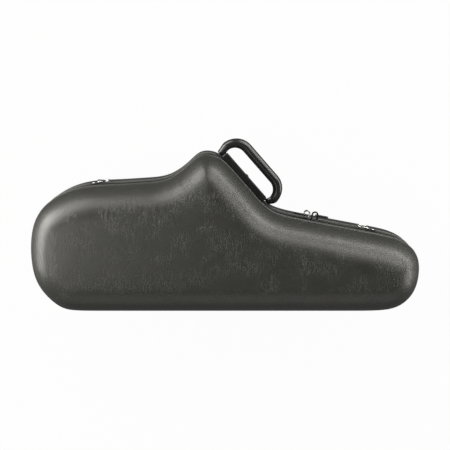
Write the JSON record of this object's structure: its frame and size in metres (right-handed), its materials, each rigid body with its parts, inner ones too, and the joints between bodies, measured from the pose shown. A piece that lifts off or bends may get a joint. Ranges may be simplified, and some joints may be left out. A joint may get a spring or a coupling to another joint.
{
  "type": "shaped alto saxophone case",
  "caption": "Shaped moulded case for an alto saxophone, with a zip band round the seam, a folding carrying handle and padded inside.",
  "frame": {"origin": "middle of the bounding box's bottom, on the rear shell's flat back face; the case lies on its back", "axes": "+X along the case towards its narrow end, +Y towards the handle side, +Z out of the lid's face"},
  "size_m": [0.659, 0.2914, 0.176],
  "materials": {
    "shell": "satin, leather-grained olive dark grey film over a moulded shell",
    "piping": "matt rolled edge",
    "band": "woven, dark grey",
    "zip": "black zip tape and moulded teeth",
    "webbing": "black webbing",
    "chrome": "bright plated",
    "grip": "glossy black",
    "bar": "satin black",
    "steel": "zinc-plated",
    "plush": "plush over foam, very dark grey"
  },
  "bodies": {
    "base": {"rear_shell": "shell", "rear_piping": "piping", "rear_band": "band", "rear_zip_tape": "zip", "rear_zip_teeth": "zip", "rear_hinge_tape": "webbing", "strap_hinge_side": "webbing", "strap_bell_side": "webbing", "zip_stop_bell_end": "chrome", "zip_stop_narrow_end": "chrome", "ring_plate_left": "chrome", "ring_plate_right": "chrome", "ring_rivet_left": "chrome", "ring_rivet_right": "chrome", "handle_bar": "bar", "handle_pin_upper": "steel", "handle_pin_lower": "steel", "handle_backing_plate": "steel", "handle_screw_1": "steel", "handle_screw_2": "steel", "handle_screw_3": "steel", "rear_liner": "plush", "bow_block": "plush", "bell_block": "plush", "body_block": "plush", "neck_end_block": "plush", "bell_stop_block": "plush", "accessory_box": "plush"},
    "lid": {"front_shell": "shell", "front_piping": "piping", "front_band": "band", "front_zip_tape": "zip", "front_zip_teeth": "zip", "front_hinge_tape": "webbing", "front_liner": "plush", "lid_pad_body": "plush", "lid_pad_bell": "plush"},
    "handle": {"handle_grip": "grip"},
    "accessory_cover": {"accessory_lid": "plush", "accessory_lid_tab": "webbing"},
    "left_slider": {"zip_slider_left": "chrome"},
    "right_slider": {"zip_slider_right": "chrome"},
    "left_pull": {"zip_pull_left": "grip"},
    "right_pull": {"zip_pull_right": "grip"},
    "left_ring": {"strap_ring_left": "chrome"},
    "right_ring": {"strap_ring_right": "chrome"}
  },
  "joints": [
    {"name": "lid_hinge", "type": "hinge", "parent": "base", "child": "lid", "pos_m": [0, -0.14199, 0.088], "axis": [1, 0, 0], "range_deg": [0, 105]},
    {"name": "handle_fold", "type": "hinge", "parent": "base", "child": "handle", "pos_m": [0.03442, 0.07905, 0.0736], "axis": [0.6578, -0.7532, 0], "range_deg": [-70, 70]},
    {"name": "accessory_lid_hinge", "type": "hinge", "parent": "base", "child": "accessory_cover", "pos_m": [0.14363, -0.0539, 0.0763], "axis": [1, 0, 0], "range_deg": [0, 80]},
    {"name": "left_zip_run", "type": "slide", "parent": "base", "child": "left_slider", "axis": [-0.9817, 0.1903, 0], "range_m": [0, 0.015]},
    {"name": "right_zip_run", "type": "slide", "parent": "base", "child": "right_slider", "axis": [0.9818, -0.1901, 0], "range_m": [0, 0.055]},
    {"name": "left_pull_swing", "type": "hinge", "parent": "left_slider", "child": "left_pull", "pos_m": [0.13721, 0.01477, 0.088], "axis": [0, 0, -1], "range_deg": [0, 110]},
    {"name": "right_pull_swing", "type": "hinge", "parent": "right_slider", "child": "right_pull", "pos_m": [0.15609, 0.01397, 0.088], "axis": [0, 0, 1], "range_deg": [0, 110]},
    {"name": "left_ring_swing", "type": "hinge", "parent": "base", "child": "left_ring", "pos_m": [-0.21795, 0.07171, 0.0752], "axis": [0, 0, 1], "range_deg": [0, 150]},
    {"name": "right_ring_swing", "type": "hinge", "parent": "base", "child": "right_ring", "pos_m": [0.24732, -0.00901, 0.0752], "axis": [0, 0, -1], "range_deg": [0, 150]}
  ]
}
